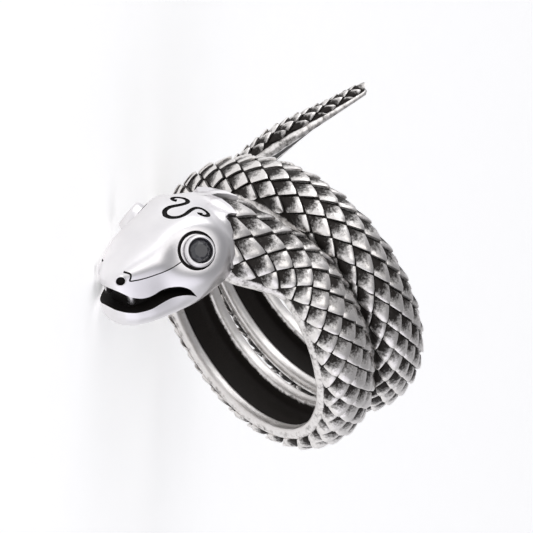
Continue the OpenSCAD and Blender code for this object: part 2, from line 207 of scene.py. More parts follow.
def girth(u):
    """Distances across the back from the top to the front rim, at even steps of p."""
    key = round(u, 1)
    if key not in girths:
        points = [skin(key, k / GIRTH_STEPS, 0) for k in range(GIRTH_STEPS + 1)]
        steps = [0.0]
        for a, b in zip(points, points[1:]):
            steps.append(steps[-1] + (b - a).length)
        girths[key] = steps
    return girths[key]


def half_girth(u):
    low = math.floor(u * 10) / 10
    f = (u - low) * 10
    return girth(low)[-1] * (1 - f) + girth(low + 0.1)[-1] * f


def p_at(u, share):
    """The p of a place at that share of the way from the top to a rim."""
    steps = girth(u)
    want = min(1, abs(share)) * steps[-1]
    k = 0
    while k < GIRTH_STEPS - 1 and steps[k + 1] < want:
        k += 1
    return math.copysign((k + (want - steps[k]) / (steps[k + 1] - steps[k])) / GIRTH_STEPS, share)


print("length over the top:", round(walked, 1), "mm")
print("half girth at the first turn:", round(half_girth(8), 2), "mm")

# %% [markdown]
# ## Mesh helpers
# Each piece is made by bmesh operators in the finger's upright frame. One matrix turns
# it to the way that the ring lies and to metres, so the finished object sits at the
# origin. Edges sharper than a limit are marked, so broad surfaces shade softly while the
# cut edges stay crisp.

# %% The lying frame and the step from bmesh to a finished piece
bore = frame["record"]["mounts"][0]
lie_z = Vector(bore["axis"]).normalized()
lean, lean_turn = math.radians(56.16), math.radians(-47.78)
level = math.sin(lean)
up_way = Vector((level * math.cos(lean_turn), level * math.sin(lean_turn), -math.cos(lean)))
camera_way = Vector((0.854, 0, 0.52)).normalized()
back_way = -(camera_way - camera_way.dot(up_way) * up_way).normalized()
side_way = back_way.cross(up_way)
bore_back = COIL[-1][1] * coil_pitch + COIL[-1][2] * body_w / 2 + 0.3
origin = Vector(bore["pos_m"]) * 1000 - lie_z * (bore["dims"]["length_mm"] / 2 - bore_back)
LYING = Matrix((side_way, back_way, up_way)).to_4x4()
LYING = Matrix.Translation(origin / 1000) @ LYING @ Matrix.Scale(0.001, 4)
print("finger's line in the lying frame:", [round(n, 4) for n in LYING.to_3x3() @ Vector((0, 0, 1000))],
      "and in the record:", [round(n, 4) for n in lie_z])


def first_ring(bm, count):
    """A ring of vertices in the order of their angle, and its edges."""
    made = bmesh.ops.create_circle(bm, cap_ends=False, segments=count, radius=1)["verts"]
    loop = sorted(made, key=lambda v: math.atan2(v.co.y, v.co.x) % (2 * math.pi))
    return loop, list(dict.fromkeys(e for v in loop for e in v.link_edges))


def next_ring(bm, loop, edges):
    """Extrudes a ring of edges, and returns the new vertices in the same order, and edges."""
    out = bmesh.ops.extrude_edge_only(bm, edges=edges)["geom"]
    fresh = {v for v in out if isinstance(v, bmesh.types.BMVert)}
    new_edges = [e for e in out if isinstance(e, bmesh.types.BMEdge) and all(v in fresh for v in e.verts)]
    new_loop = [next(e.other_vert(v) for e in v.link_edges if e.other_vert(v) in fresh) for v in loop]
    return new_loop, new_edges


def finished(bm, name, materials, sharp=38, place=LYING):
    """Lays a bmesh down, shades it, gives it its materials and makes it an object."""
    bmesh.ops.transform(bm, matrix=place, verts=bm.verts)
    bmesh.ops.recalc_face_normals(bm, faces=bm.faces)
    for face in bm.faces:
        face.smooth = True
    for edge in bm.edges:
        edge.smooth = edge.is_manifold and edge.calc_face_angle(0) < math.radians(sharp)
    mesh = bpy.data.meshes.new(name)
    bm.to_mesh(mesh)
    bm.free()
    for material in materials:
        mesh.materials.append(material)
    piece = bpy.data.objects.new(name, mesh)
    bpy.context.scene.collection.objects.link(piece)
    print(name, "faces:", len(mesh.polygons))
    return piece


# %% [markdown]
# ## Finishes
# Sterling silver is nearly white. Polished, it is a soft mirror. Blackened in liver of
# sulphur, it gets a thin matt brown-black film that the polishing wheel takes off the
# high places alone, with a ragged border. A metal keeps the default index of refraction,
# so colour, metallic and roughness carry the difference.

# %% Colour and node helpers
def linear(hex_colour):
    channels = [int(hex_colour[i:i + 2], 16) / 255 for i in (1, 3, 5)]
    return [c / 12.92 if c <= 0.04045 else ((c + 0.055) / 1.055) ** 2.4 for c in channels] + [1]


def add(material, kind, settings=None, links=None, **values):
    """A node of that kind, with its settings, input values and links from other sockets."""
    node = material.node_tree.nodes.new("ShaderNode" + kind)
    for key, value in (settings or {}).items():
        setattr(node, key, value)
    for key, value in values.items():
        node.inputs[key.replace("_", " ")].default_value = value
    for key, source in (links or {}).items():
        material.node_tree.links.new(source, node.inputs[key])
    return node


def mix(material, factor, first, second):
    """A blend of two colours, each of them a colour or another node's socket."""
    node = add(material, "Mix", {"data_type": "RGBA"}, {0: factor})
    for slot, colour in ((6, first), (7, second)):
        if isinstance(colour, list):
            node.inputs[slot].default_value = colour
        else:
            material.node_tree.links.new(colour, node.inputs[slot])
    return node.outputs[2]


def ramp(material, value, low, high):
    """A value from 0 to 1 carried to the range from low to high."""
    return add(material, "MapRange", links={"Value": value}, To_Min=low, To_Max=high).outputs["Result"]


def blank(name):
    material = bpy.data.materials.new(name)
    material.use_nodes = True
    material.node_tree.nodes.clear()
    return material


def output(material, shader):
    add(material, "OutputMaterial", links={"Surface": shader.outputs[0]})


silver_bright = linear("#F5F3F2")
silver_warm = linear("#D9D4CF")
film_black = linear("#0E0C0B")
film_brown = linear("#2B2521")
film_sheen = 0.25
per_metre = 1000
print("silver:", [round(c, 3) for c in silver_bright[:3]])
print("film:", [round(c, 3) for c in film_black[:3]])


# %% [markdown]
# ### The polished head
# The head was buffed with rouge until it reflects like a soft mirror. Fine hairlines
# from handling are about 0.05 mm apart; they are too fine to show, so they are drawn
# some four times coarser and very faint.

# %% Polished sterling silver
def polished_sterling():
    material = blank("polished_sterling_silver")
    where = add(material, "TexCoord").outputs["Object"]
    cloud = add(material, "TexNoise", links={"Vector": where}, Scale=0.5 * per_metre, Detail=3.0)
    hair = add(material, "TexNoise", links={"Vector": where}, Scale=5 * per_metre, Detail=2.0)
    rough = ramp(material, cloud.outputs["Fac"], 0.27, 0.36)
    tint = mix(material, cloud.outputs["Fac"], linear("#F2F0F0"), linear("#E1DFE1"))
    bump = add(material, "Bump", links={"Height": hair.outputs["Fac"]}, Strength=0.05, Distance=0.00002)
    shader = add(material, "BsdfPrincipled", links={
        "Base Color": tint, "Roughness": rough, "Normal": bump.outputs["Normal"]})
    shader.inputs["Metallic"].default_value = 1
    output(material, shader)
    return material


# %% [markdown]
# ### Plates, rims and grooves
# One recipe serves every blackened part: an attribute painted on the mesh says how black a
# point is, a noise with grains of about 0.2 to 0.5 mm makes the border ragged, and a steep
# ramp turns the sum into film or bare metal. In the hollows and grooves that is the real
# film; on the plates the attribute also carries painted shade on the flanks of the turns.
# Pits in the film show as a fine bump. The film is porous and throws back less light than a
# varnish would.

# %% Silver under a rubbed black film
def rubbed_silver(name, middle, spread, raggedness, bright_rough=0.3, pit_depth=0.35, grain=3.0):
    material = blank(name)
    where = {"Vector": add(material, "TexCoord").outputs["Object"]}
    # This attribute holds the real film in hollows and grooves, and painted shade on the plates' flanks.
    film_and_shade = add(material, "Attribute", {"attribute_name": "film_and_shade"}).outputs["Fac"]
    coarse = add(material, "TexNoise", None, where, Scale=grain * per_metre, Detail=5.0, Roughness=0.65)
    fine = add(material, "TexNoise", None, where, Scale=11 * per_metre, Detail=3.0)
    ragged = add(material, "Math", {"operation": "MULTIPLY_ADD"},
                 {0: coarse.outputs["Fac"], 2: film_and_shade})
    ragged.inputs[1].default_value = raggedness
    border = middle + raggedness / 2
    mask = add(material, "MapRange", {"interpolation_type": "SMOOTHSTEP"}, {"Value": ragged.outputs[0]},
               From_Min=border - spread, From_Max=border + spread)
    mask = mask.outputs["Result"]
    metal = mix(material, coarse.outputs["Fac"], silver_bright, silver_warm)
    dark = mix(material, fine.outputs["Fac"], film_black, film_brown)
    height = {"Height": fine.outputs["Fac"]}
    pits = add(material, "Bump", None, height, Strength=pit_depth, Distance=0.00003)
    shader = add(material, "BsdfPrincipled", links={
        "Base Color": mix(material, mask, metal, dark),
        "Roughness": ramp(material, mask, bright_rough, 0.6),
        "Metallic": ramp(material, mask, 1.0, 0.1), "Normal": pits.outputs["Normal"]})
    shader.inputs["Specular IOR Level"].default_value = film_sheen
    output(material, shader)
    return material


def black_film():
    material = blank("liver_of_sulphur_film_in_the_cuts")
    where = add(material, "TexCoord").outputs["Object"]
    fine = add(material, "TexNoise", links={"Vector": where}, Scale=8 * per_metre, Detail=3.0)
    dark = mix(material, fine.outputs["Fac"], linear("#070606"), linear("#1C1816"))
    pits = add(material, "Bump", links={"Height": fine.outputs["Fac"]}, Strength=0.3, Distance=0.00003)
    shader = add(material, "BsdfPrincipled", links={"Base Color": dark, "Normal": pits.outputs["Normal"]})
    shader.inputs["Roughness"].default_value = 0.62
    shader.inputs["Specular IOR Level"].default_value = film_sheen
    output(material, shader)
    return material


def spinel_facets():
    material = blank("black_spinel_cut_and_polished")
    where = add(material, "TexCoord").outputs["Object"]
    cloud = add(material, "TexNoise", links={"Vector": where}, Scale=1.5 * per_metre, Detail=1.0)
    depth = mix(material, cloud.outputs["Fac"], linear("#17171B"), linear("#2B2B32"))
    shader = add(material, "BsdfPrincipled", links={"Base Color": depth})
    shader.inputs["Roughness"].default_value = 0.08
    shader.inputs["IOR"].default_value = 1.72
    output(material, shader)
    return material


polished = polished_sterling()
plate_silver = rubbed_silver("cast_sterling_plates_rubbed_bright", 0.5, 0.26, 0.8, grain=4.5)
body_silver = rubbed_silver("cast_sterling_core_and_rims", 0.45, 0.22, 1.1, 0.36, 0.2, grain=1.8)
film = black_film()
stone_look = spinel_facets()
print("materials:", [m.name for m in bpy.data.materials if m.users or m.use_nodes])

# %% [markdown]
# ## The core of the body
# Under the plates the casting is a plain half-round band with a hollow inner side between
# two rounded rims. It is drawn by extruding one closed ring of edges station by station
# along the spine, which keeps the rims and the hollow as clean lines. An attribute says
# how black each line is: 0 on the rims, 1 in the hollow and in the grooves between the
# plates. The plates write painted shade into the same attribute.

# %% The ring of points round one section
BACK_STEPS = 26
groove_depth = 0.3


def core_ring(u, thin):
    """Points round one section, each with its shelter: the back first, then the inside."""
    place, _, out, across, w, h, d = section(u)
    half = w / 2
    points = []
    for k in range(BACK_STEPS + 1):
        share = 1 - 2 * k / BACK_STEPS
        sunk = -groove_depth * thin * unit((0.96 - abs(share)) / 0.1)
        points.append((skin(u, p_at(u, share), sunk), 1.0 if abs(share) < 0.86 else 0.3))
    rim = min(rim_w, half * 0.45)
    edge = 0.9 * half
    floor = max(0.03, d)
    inner = [(0.985 * half, 0.13 * h, 0.3), (0.955 * half, 0.05 * h, 0.1), (edge, 0.0, 0.08),
             (edge - 0.4 * rim, -0.01, 0.1), (edge - 0.75 * rim, 0.0, 0.2),
             (edge - 0.95 * rim, 0.07 * floor, 0.3), ((edge - rim) * 0.97, 0.3 * floor, 0.8),
             ((edge - rim) * 0.93, 0.72 * floor, 1.0), ((edge - rim) * 0.8, 0.96 * floor, 1.0),
             ((edge - rim) * 0.4, floor, 1.0)]
    solid_shelter = 0.4 * (1 - unit(d / 0.9))
    for x, y, dark in [(-x, y, s) for x, y, s in inner] + [(0, floor, 1.0)] + inner[::-1]:
        point = place + x * across + y * out
        if 0 < y < 0.2 * h or d > 0.3:
            point += out * 0.05 * max(0, noise.noise(point * 1.3)) * (1 - dark)
        points.append((point, max(dark, solid_shelter)))
    return points


# %% Extrude the core along the spine
core = bmesh.new()
shelter_layer = core.verts.layers.float.new("film_and_shade")
core_start, core_step = 3.0, 0.34
station_count = int((walked - core_start - 0.1) / core_step)
stations = [u_at(core_start + core_step * k) for k in range(station_count)]
loop, ring_edges = first_ring(core, len(core_ring(stations[0], 1)))
for k, u in enumerate(stations):
    thin = min(1, section(u)[4] / (0.75 * body_w))
    if k:
        loop, ring_edges = next_ring(core, loop, ring_edges)
    for vertex, (point, dark) in zip(loop, core_ring(u, thin)):
        vertex.co = point
        vertex[shelter_layer] = dark
tip = sum((v.co for v in loop), Vector()) / len(loop)
loop, ring_edges = next_ring(core, loop, ring_edges)
for vertex in loop:
    vertex.co = tip + (vertex.co - tip) * 0.55 + section(stations[-1])[1] * 0.28
    vertex[shelter_layer] = 0.3
bmesh.ops.holes_fill(core, edges=core.edges, sides=0)
snake_core = finished(core, "snake_core", [body_silver], sharp=60)

# %% [markdown]
# ## The plates
# The plates are diamonds laid like roof tiles: the corner towards the head is low, and
# the corner towards the tail stands proud over the next plate. Drawing each by hand would
# take days, so one small grid is created, and its points are carried to each cell of a
# diamond net on the back. Their border drops as a small bevel, and an extruded skirt
# closes the plate down into the core.

# %% Rows of the diamond net
# Distance along the top, the length of a plate, the distance between columns, and how many
# columns the net is shifted sideways.
NET = [
    [0, 4.0, 2.3, 0.2], [4.1, 4.0, 2.3, 0.2], [6.4, 3.6, 2.2, 0.0], [8.4, 3.0, 2.1, -0.25],
    [10.5, 2.5, 2.0, -0.5], [14, 2.3, 2.0, -0.5], [30, 2.3, 2.0, -0.5], [60, 2.4, 1.9, -0.5],
    [78, 2.8, 1.8, -0.5],
    [88, 3.0, 1.65, -0.5], [97, 2.6, 1.5, -0.5], [110, 2.4, 1.45, -0.5], [135, 2.2, 1.35, -0.5],
    [143, 2.0, 1.15, -0.5], [150, 1.7, 0.9, -0.5], [160, 1.4, 0.7, -0.5]]
net_start = 4.15


def net_at(distance):
    """Length of a plate, distance between columns and shift at that distance along."""
    for a, b in zip(NET, NET[1:]):
        if distance <= b[0]:
            f = (distance - a[0]) / (b[0] - a[0])
            return [(1 - f) * p + f * q for p, q in zip(a[1:], b[1:])]
    return NET[-1][1:]


net_rows = [net_start]
while net_rows[-1] < walked - 0.6:
    net_rows.append(net_rows[-1] + net_at(net_rows[-1])[0] / 2)
print("half rows of plates:", len(net_rows))


def net_share(distance, c):
    """Share of the way from the top to a rim of column c at that distance along."""
    _, pitch, shift = net_at(distance)
    return (c + shift) * pitch / half_girth(u_at(min(distance, walked - 0.1)))


# %% One plate carried to each cell
plates = bmesh.new()
plate_film_and_shade = plates.verts.layers.float.new("film_and_shade")
GRID = 5
LINES = [0.0, 0.07, 0.34, 0.66, 0.91, 1.0]
rim_limit = 0.91
skirt_depth = 0.52
darkest = 0.86
plate_count = 0


def plate_height(a, b, rise, thin):
    """Height of a plate over the skin: it climbs to its tip, dished, with a raised lip."""
    s = (a + b) / 2
    t = a - b
    lift = rise * (s ** 1.25 - 0.5)
    lift += 0.05 * thin * (1 - (2 * s - 1) ** 2) * (1 - t * t)
    edge = max(a, b)
    lift += 0.035 * thin * max(0, 1 - abs(edge - 0.91) / 0.14) * min(a, b)
    return lift


def carry_plate(k, c):
    """Makes the plate of half row k and column c, unless it lies past a rim."""
    root, left, right, tip = [(net_rows[k + q], net_share(net_rows[k + q], c + o))
                              for q, o in ((-1, 0), (0, -0.5), (0, 0.5), (1, 0))]
    middle = net_share(net_rows[k], c)
    if abs(middle) > rim_limit + 0.1 * (right[1] - left[1]):
        return 0
    thin = min(1, section(u_at(net_rows[k]))[4] / (0.7 * body_w))
    wear = 0.25 * noise.noise(Vector((k * 1.7, c * 2.3, 5.1)))
    upper = unit((net_rows[k] - 70) / 12)
    neck = unit((16 - net_rows[k]) / 6)
    dark_share = 0.25 + 0.09 * upper + 0.1 * neck
    made = bmesh.ops.create_grid(plates, x_segments=GRID, y_segments=GRID, size=1)["verts"]
    gap = 0.035 if thin > 0.9 else 0.05
    for vertex in made:
        i = round((vertex.co.x + 1) / 2 * GRID)
        j = round((vertex.co.y + 1) / 2 * GRID)
        a = gap + (1 - 2 * gap) * LINES[i]
        b = gap + (1 - 2 * gap) * LINES[j]
        weights = ((1 - a) * (1 - b), a * (1 - b), (1 - a) * b, a * b)
        distance = sum(w * q[0] for w, q in zip(weights, (root, right, left, tip)))
        share = sum(w * q[1] for w, q in zip(weights, (root, right, left, tip)))
        share = max(-rim_limit, min(rim_limit, share))
        corner = max(0, a - 0.7) * max(0, b - 0.7) / 0.09
        distance -= 0.16 * corner
        u = u_at(min(distance, walked - 0.02))
        fade = min(1, 0.3 + (rim_limit - abs(share)) / 0.2)
        height = plate_height(a, b, 1.15 * scale_rise * thin, thin) - 0.12 * corner * thin
        height = fade * height - 0.12 * (1 - fade)
        if i in (0, GRID) or j in (0, GRID):
            height -= 0.06 * thin
        vertex.co = skin(u, p_at(u, share), height)
        s = (a + b) / 2
        dish = (1 - (a - b) ** 2) * (1 - (2 * s - 1) ** 2)
        rim_shine = 0.2 * max(0, 1 - abs(max(a, b) - 0.92) / 0.12)
        # side_shade is painted shade put into the plates' film: on the lower turn along the flank that
        # faces the upper turn, on the upper turn along both flanks.
        side_shade = unit((-share - 0.4) / 0.4) * (1 - upper) + unit((abs(share) - 0.5) / 0.35) * upper
        black = 0.5 + wear + 1.1 * (dark_share - s) + 0.26 * dish - rim_shine + 0.3 * side_shade
        vertex[plate_film_and_shade] = min(darkest, black)
    border = [e for e in dict.fromkeys(e for v in made for e in v.link_edges) if e.is_boundary]
    out = bmesh.ops.extrude_edge_only(plates, edges=border)["geom"]
    skirt = [v for v in out if isinstance(v, bmesh.types.BMVert)]
    place, _, outward = section(u_at(net_rows[k]))[:3]
    for vertex in skirt:
        into = place + outward * 0.5 - vertex.co
        vertex.co += into.normalized() * skirt_depth * thin
        vertex[plate_film_and_shade] = 1.2
    rim = [e for e in out if isinstance(e, bmesh.types.BMEdge) and e.is_boundary]
    bmesh.ops.edgeloop_fill(plates, edges=rim)
    return 1


columns = [c / 2 for c in range(-10, 11)]
for k in range(1, len(net_rows) - 1):
    for c in columns:
        if (k + 2 * c) % 2 == 0:
            plate_count += carry_plate(k, c)
bmesh.ops.remove_doubles(plates, verts=plates.verts, dist=0.004)
snake_plates = finished(plates, "snake_plates", [plate_silver], sharp=42)

# The lowest plates would press into the floor by less than a tenth of a millimetre.
for vertex in snake_plates.data.vertices:
    vertex.co.z = max(0.0, vertex.co.z)
print("plates:", plate_count)

# %% [markdown]
# ## The head
# The head is a smooth polished shell. It is drawn as one closed loft: a ring of points
# is extruded from the neck to the snout, each ring made of the skull's outline above and
# the jaw's outline below. The rings at the back run in points over the first plates.
# The mouth and every engraved line are cut from it with the Boolean modifier, as a graver
# would cut them, and the cut faces keep the cutter's black finish.

# %% Tables of the skull and the jaw
# Skull: place along as a share of head_len, shift and turn of the section, half width as a
# share of head_w, then heights of crown, waist and underside as shares of head_h.
SKULL = [
    [-0.425, 0.270, 52, 0.345, -0.20, -0.50, -0.80], [-0.385, 0.175, 40, 0.395, -0.12, -0.49, -0.85],
    [-0.315, 0.070, 24, 0.432, -0.04, -0.48, -0.87], [-0.220, 0.015, 9, 0.462, 0.06, -0.47, -0.86],
    [-0.100, 0, 0, 0.480, 0.11, -0.44, -0.82], [0.005, 0, 0, 0.450, 0.13, -0.38, -0.74],
    [0.070, 0, 0, 0.420, 0.13, -0.33, -0.60], [0.130, 0, 0, 0.385, 0.11, -0.29, -0.50],
    [0.220, 0.002, 0, 0.320, 0.06, -0.26, -0.43], [0.305, 0.006, 0, 0.255, 0.01, -0.24, -0.41],
    [0.375, 0.011, 0, 0.192, -0.04, -0.22, -0.39], [0.427, 0.015, 0, 0.130, -0.09, -0.20, -0.34],
    [0.458, 0.017, 0, 0.070, -0.13, -0.20, -0.28], [0.469, 0.018, 0, 0.025, -0.17, -0.20, -0.23]]
# Jaw: place along, half width, heights of waist and chin.
JAW = [
    [-0.425, 0.345, -0.52, -0.88], [-0.315, 0.440, -0.52, -0.96], [-0.200, 0.475, -0.55, -0.99],
    [-0.070, 0.475, -0.62, -1.01], [0.030, 0.460, -0.68, -1.02], [0.110, 0.425, -0.71, -1.02],
    [0.200, 0.372, -0.73, -1.02], [0.300, 0.310, -0.74, -1.01], [0.385, 0.238, -0.71, -0.97],
    [0.435, 0.170, -0.66, -0.91], [0.465, 0.098, -0.62, -0.83], [0.477, 0.038, -0.61, -0.73]]

eye_line = bore_r + chin_gap + 0.84 * head_h
up_turn = math.radians(head_turn + head_roll)
HEAD = Matrix((
    (0, math.cos(up_turn), math.sin(up_turn), eye_line * math.sin(math.radians(head_turn))),
    (0, -math.sin(up_turn), math.cos(up_turn), eye_line * math.cos(math.radians(head_turn))),
    (1, 0, 0, head_out - COIL[0][1] * coil_pitch), (0, 0, 0, 1)))


def jaw_at(x):
    i = 0
    while i < len(JAW) - 2 and JAW[i + 1][0] < x:
        i += 1
    return row_at(JAW, i + (x - JAW[i][0]) / (JAW[i + 1][0] - JAW[i][0]))


QUARTER = 14
CHEEK = 4


def head_ring(r, inset=0.0):
    """The points of one section of the head, from the left waist over the crown and round."""
    jaw = jaw_at(r[0])
    turn = math.radians(r[2])
    halves = []
    waist = r[5] * head_h
    w, crown = max(0.03, r[3] * head_w - inset), max(waist + 0.02, r[4] * head_h - inset)
    for k in range(2 * QUARTER + 1):
        t = math.pi / 2 * k / QUARTER
        halves.append((w * power(math.cos(t), 0.85), waist + (crown - waist) * power(math.sin(t), 0.85)))
    jaw_waist = jaw[2] * head_h
    jw, chin = max(0.03, jaw[1] * head_w - inset), min(jaw_waist - 0.02, jaw[3] * head_h + inset)
    cheek = [((w * (CHEEK - k) + jw * k) / CHEEK, (waist * (CHEEK - k) + jaw_waist * k) / CHEEK)
             for k in range(1, CHEEK)]
    halves += [(-y, z) for y, z in cheek]
    for k in range(2 * QUARTER + 1):
        t = math.pi / 2 * k / QUARTER
        drop = (chin - jaw_waist) * power(math.sin(t), 0.75)
        halves.append((-jw * power(math.cos(t), 0.68), jaw_waist + drop))
    halves += cheek[::-1]
    x, shift = r[0] * head_len, r[1] * head_w
    return [HEAD @ Vector((x + y * math.sin(turn), shift + y * math.cos(turn), z)) for y, z in halves]


# %% The back edge of the head, in points over the first plates
def back_edge(overlap, raised):
    """The head's last ring: on the neck's skin, its edge running along the diamond net."""
    points = []
    for k in range(2 * QUARTER + 1):
        column = (QUARTER - k) / 6
        point = 1 - 2 * abs(column - round(column))
        distance = net_start + point * (net_rows[1] - net_start) * 0.97
        share = max(-0.94, min(0.94, net_share(distance, column)))
        u = u_at(distance - overlap)
        points.append(skin(u, p_at(u, share), raised))
    return points


def underside(points, u, depth):
    """Closes an edge over the neck with an arc under it."""
    place, _, out, across, w, h, _ = section(u)
    count = 2 * QUARTER + 2 * CHEEK - 1
    arc = []
    for k in range(1, count + 1):
        t = math.pi * k / (count + 1)
        arc.append(place - across * math.cos(t) * w * 0.49 + out * (0.2 * h - depth * math.sin(t)))
    return points + arc


print("eye line above the finger's middle:", round(eye_line, 2), "mm")

# %% Loft the head from the neck to the snout
def loft(rings):
    """A closed skin through rings of points, made by extruding one ring of edges."""
    bm = bmesh.new()
    loop = first_ring(bm, len(rings[0]))[0]
    edges = list(bm.edges)
    for k, ring in enumerate(rings):
        if k:
            loop, edges = next_ring(bm, loop, edges)
        for vertex, point in zip(loop, ring):
            vertex.co = point
    bmesh.ops.remove_doubles(bm, verts=bm.verts, dist=0.002)
    bmesh.ops.holes_fill(bm, edges=bm.edges, sides=0)
    bmesh.ops.recalc_face_normals(bm, faces=bm.faces)
    return bm


BACK_ROW, ROW_STEP = 2.2, 0.25
u_back = u_at(net_start)
edge = underside(back_edge(0.0, 0.3), u_back, 0.1)
start, ahead = [head_ring(row_at(SKULL, BACK_ROW + more)) for more in (0, 0.3)]
head_rings = [underside(back_edge(0.1, -0.35), u_back, 0.05)]
for f in (0.0, 0.2, 0.42, 0.66, 0.86):
    head_rings.append([a * (1 - f) + b * f + (b - c) * f * (1 - f) * 0.5
                       for a, b, c in zip(edge, start, ahead)])
rows = int((len(SKULL) - 1 - BACK_ROW) / ROW_STEP) + 1
head_rings += [head_ring(row_at(SKULL, BACK_ROW + k * ROW_STEP)) for k in range(rows)]
head_bm = loft(head_rings)
for _ in range(2):
    tender = [v for v in head_bm.verts if (HEAD.inverted() @ v.co).x > -5.0]
    bmesh.ops.smooth_vert(
        head_bm, verts=tender, factor=0.3, use_axis_x=True, use_axis_y=True, use_axis_z=True)
print("head loft faces:", len(head_bm.faces))


# %% Swell the cheeks up to the eyes
eye_at = Vector((-0.015 * head_len, 0.44 * head_w, -0.14 * head_h))
eye_look = Vector((0.21, 0.78, 0.59)).normalized()
bezel_r = stone_d / 2 + stone_gap + bezel_w
swell_r, swell_edge = 3.7, 2.15


def eye_frame(side):
    """Head frame of an eye: z looks out of it, and the origin is the middle of its plane."""
    z = Vector((eye_look.x, side * eye_look.y, eye_look.z))
    x = Vector((1, 0, 0))
    x = (x - x.dot(z) * z).normalized()
    y = z.cross(x)
    place = Vector((eye_at.x, side * eye_at.y, eye_at.z))
    return Matrix.Translation(place) @ Matrix((x, y, z)).transposed().to_4x4()


for vertex in head_bm.verts:
    for side in (-1, 1):
        to_eye = (HEAD @ eye_frame(side)).inverted()
        local = to_eye @ vertex.co
        r = math.hypot(local.x, local.y)
        if local.z > -2.5 and r < swell_r:
            pull = unit((swell_r - r) / swell_edge)
            pull = pull * pull * (3 - 2 * pull)
            local.z += pull * (-0.3 - 0.02 * r - local.z)
            vertex.co = to_eye.inverted() @ local
    from_axis = Vector((vertex.co.x, vertex.co.y, 0))
    if from_axis.length < bore_r + 0.02:
        vertex.co += from_axis.normalized() * (bore_r + 0.02 - from_axis.length)
head_tree = BVHTree.FromBMesh(head_bm)

# %% [markdown]
# ### Cutting tools for the head
# A graver's line is a round-bottomed groove. Each cutter here is a tube whose path is
# found by looking straight down on the head's surface, so every line keeps one depth.

# %% Grooves that follow the surface
def on_head(x, y, z, direction):
    """Where a line of sight, in the head's frame, meets the head, and the normal there."""
    start = HEAD @ Vector((x, y, z))
    way = (HEAD.to_3x3() @ Vector(direction)).normalized()
    hit, normal = head_tree.ray_cast(start, way)[:2]
    return hit, normal


def smooth_path(points, steps):
    """A smooth curve through points given in a plane, with so many steps between two."""
    rows = [[a, b, 0] for a, b in points]
    return [Vector(row_at(rows, k / steps)) for k in range(steps * (len(points) - 1) + 1)]


def tube(bm, path, radii, sides=8, closed=False):
    """A tube of rings along a path, joined to its own start where it is closed."""
    loop, first = first_ring(bm, sides)
    edges = first
    side = None
    for k, point in enumerate(path):
        after, before = (path[(k + 1) % len(path)], path[k - 1]) if closed else (
            path[min(k + 1, len(path) - 1)], path[max(k - 1, 0)])
        way = (after - before).normalized()
        if side is None:
            side = way.orthogonal().normalized()
        side = (side - side.dot(way) * way).normalized()
        other = way.cross(side)
        if k:
            loop, edges = next_ring(bm, loop, edges)
        for i, vertex in enumerate(loop):
            t = 2 * math.pi * i / sides
            vertex.co = point + radii[k] * (math.cos(t) * side + math.sin(t) * other)
    if closed:
        bmesh.ops.bridge_loops(bm, edges=first + edges)
    else:
        bmesh.ops.holes_fill(bm, edges=first + edges, sides=0)


def cut(bm, cutter, name, least=0.8):
    """Takes cutter out of bm by the exact Boolean, and returns the result as a new bmesh.

    Where two faces nearly coincide the solver can lose a side. A cut that leaves less than
    the given share of the volume is made again with the cutter moved by a micrometre.
    """
    volume_before = abs(bm.calc_volume())
    bmesh.ops.recalc_face_normals(cutter, faces=cutter.faces)
    objects = []
    for part, label, finish in ((bm, name, polished), (cutter, name + "_cutter", film)):
        mesh = bpy.data.meshes.new(label)
        part.to_mesh(mesh)
        part.free()
        mesh.materials.append(finish)
        objects.append(bpy.data.objects.new(label, mesh))
        bpy.context.scene.collection.objects.link(objects[-1])
    modifier = objects[0].modifiers.new("cut", "BOOLEAN")
    modifier.object = objects[1]
    modifier.operation = "DIFFERENCE"
    modifier.solver = "EXACT"
    modifier.use_self = True
    modifier.use_hole_tolerant = True
    modifier.material_mode = "TRANSFER"
    for attempt in range(12):
        objects[1].location = Vector((0.001, -0.0007, 0.0004)) * attempt
        done = objects[0].evaluated_get(bpy.context.evaluated_depsgraph_get())
        result = bmesh.new()
        result.from_mesh(done.to_mesh())
        slots = [m.name if m else "" for m in done.data.materials]
        done.to_mesh_clear()
        kept = abs(result.calc_volume()) / volume_before
        print(name, "cut leaves", len(result.faces), "faces and", round(kept, 3), "of the volume;", slots)
        if kept > least:
            break
    for item in objects:
        mesh = item.data
        bpy.data.objects.remove(item)
        bpy.data.meshes.remove(mesh)
    return result


# %% [markdown]
# ### The mouth
# The lips are two S curves seen from the side. A strip of faces between them, extruded
# through the head, parts the jaws. The same loft as the head, but thinner, is taken out of
# the cutter first, so the mouth is a deep black recess that runs round the snout.

# %% Cut the mouth
UPPER_LIP = [
    (0.84, -4.55), (1.12, -4.0), (1.45, -3.44), (1.95, -3.03), (2.53, -2.88), (3.29, -2.85), (4.09, -3.05),
    (4.84, -3.0), (5.54, -2.62), (6.15, -2.0), (6.7, -1.55), (7.3, -1.42), (8.6, -1.4)]
LOWER_LIP = [
    (0.84, -4.55), (1.1, -4.3), (1.45, -4.08), (2.0, -3.9), (2.8, -3.84), (3.6, -3.98), (4.37, -4.15),
    (5.2, -4.12), (5.8, -3.98), (6.42, -3.7), (6.85, -3.35), (7.3, -3.12), (8.6, -3.05)]


